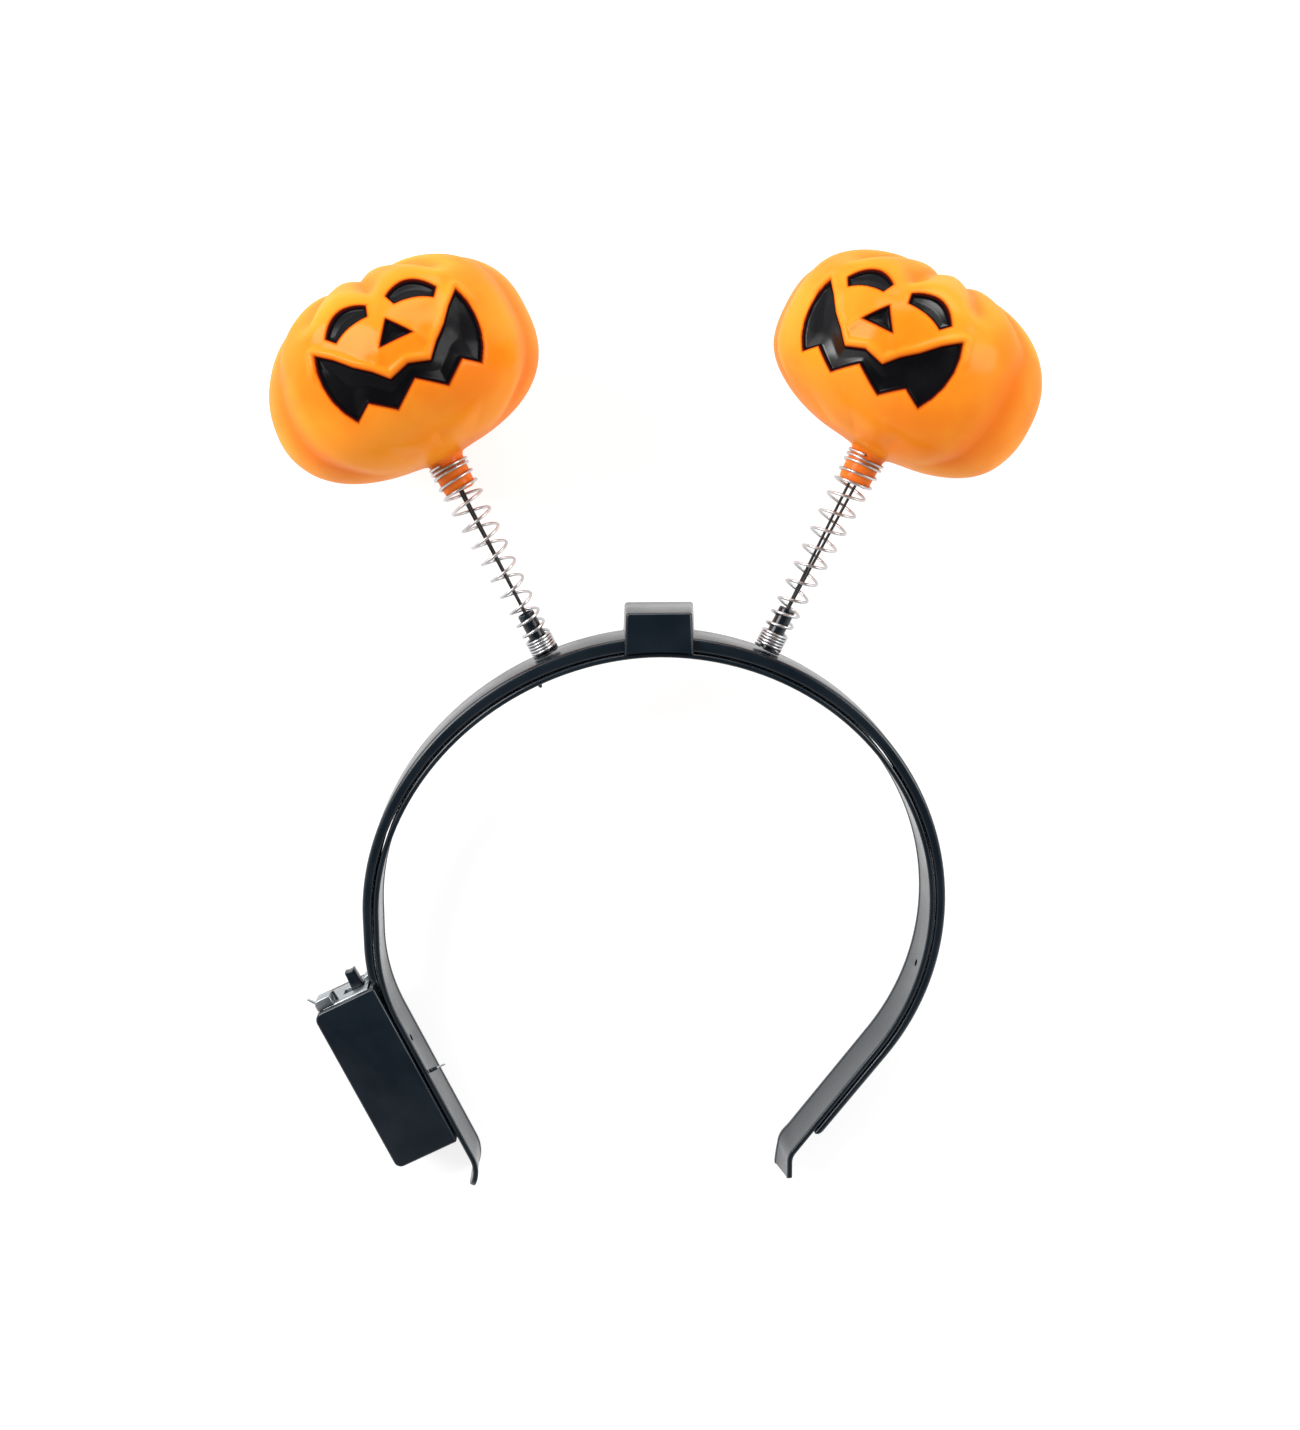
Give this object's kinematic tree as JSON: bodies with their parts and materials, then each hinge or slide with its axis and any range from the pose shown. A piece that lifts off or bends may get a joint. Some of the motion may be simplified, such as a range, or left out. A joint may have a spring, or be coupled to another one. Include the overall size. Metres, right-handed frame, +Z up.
{
  "type": "light-up pumpkin headband",
  "caption": "Black plastic headband with a battery box on one arm and two hollow orange jack-o'-lantern pumpkins on wobbling coil springs.",
  "frame": {"origin": "on the floor, under the middle of the part's bounding box, with the headband lying on its back", "axes": "+X towards the wearer's left arm of the band as seen from the front (image right), +Y from the tips towards the crown and pumpkins, +Z up from the floor, out of the fronts of the pumpkins"},
  "size_m": [0.1766, 0.22, 0.0626],
  "materials": {
    "black_plastic": "semi-gloss",
    "orange_plastic": "semi-gloss, face painted gloss black",
    "steel_wire": "bright",
    "grey_metal": "satin",
    "lead_sleeve": "matte"
  },
  "bodies": {
    "band": {"band_strip": "black_plastic", "band_channel": "black_plastic", "center_housing": "black_plastic", "battery_box": "black_plastic", "switch_plate": "grey_metal", "contact_pin": "black_plastic", "contact_wire": "grey_metal", "box_pin": "grey_metal", "spring_post_left": "black_plastic", "spring_post_right": "black_plastic"},
    "switch": {"switch_knob": "black_plastic"},
    "coil_left": {"spring_left": "steel_wire", "lead_left_a": "lead_sleeve", "lead_left_b": "lead_sleeve"},
    "coil_right": {"spring_right": "steel_wire", "lead_right_a": "lead_sleeve", "lead_right_b": "lead_sleeve"},
    "head_left": {"pumpkin_left": "orange_plastic"},
    "head_right": {"pumpkin_right": "orange_plastic"}
  },
  "joints": [
    {"name": "sway_left", "type": "hinge", "parent": "band", "child": "coil_left", "pos_m": [-0.0326, 0.03258, 0.02565], "axis": [0, -0.192, 0.9814], "range_deg": [-20, 20], "stiffness_Nm_per_rad": 0.03, "deforming": ["spring_left", "lead_left_a", "lead_left_b"]},
    {"name": "nod_left", "type": "hinge", "parent": "coil_left", "child": "head_left", "pos_m": [-0.04055, 0.04843, 0.02875], "axis": [0.8973, 0.4333, 0.0848], "range_deg": [-20, 20], "stiffness_Nm_per_rad": 0.03},
    {"name": "sway_right", "type": "hinge", "parent": "band", "child": "coil_right", "pos_m": [0.03177, 0.03313, 0.02482], "axis": [0, -0.1265, 0.992], "range_deg": [-20, 20], "stiffness_Nm_per_rad": 0.03, "deforming": ["spring_right", "lead_right_a", "lead_right_b"]},
    {"name": "nod_right", "type": "hinge", "parent": "coil_right", "child": "head_right", "pos_m": [0.03983, 0.04909, 0.02686], "axis": [0.8942, -0.4442, -0.0567], "range_deg": [-20, 20], "stiffness_Nm_per_rad": 0.03},
    {"name": "switch_slide", "type": "slide", "parent": "band", "child": "switch", "axis": [-0.9033, -0.4255, -0.0543], "range_m": [0, 0.002]}
  ]
}
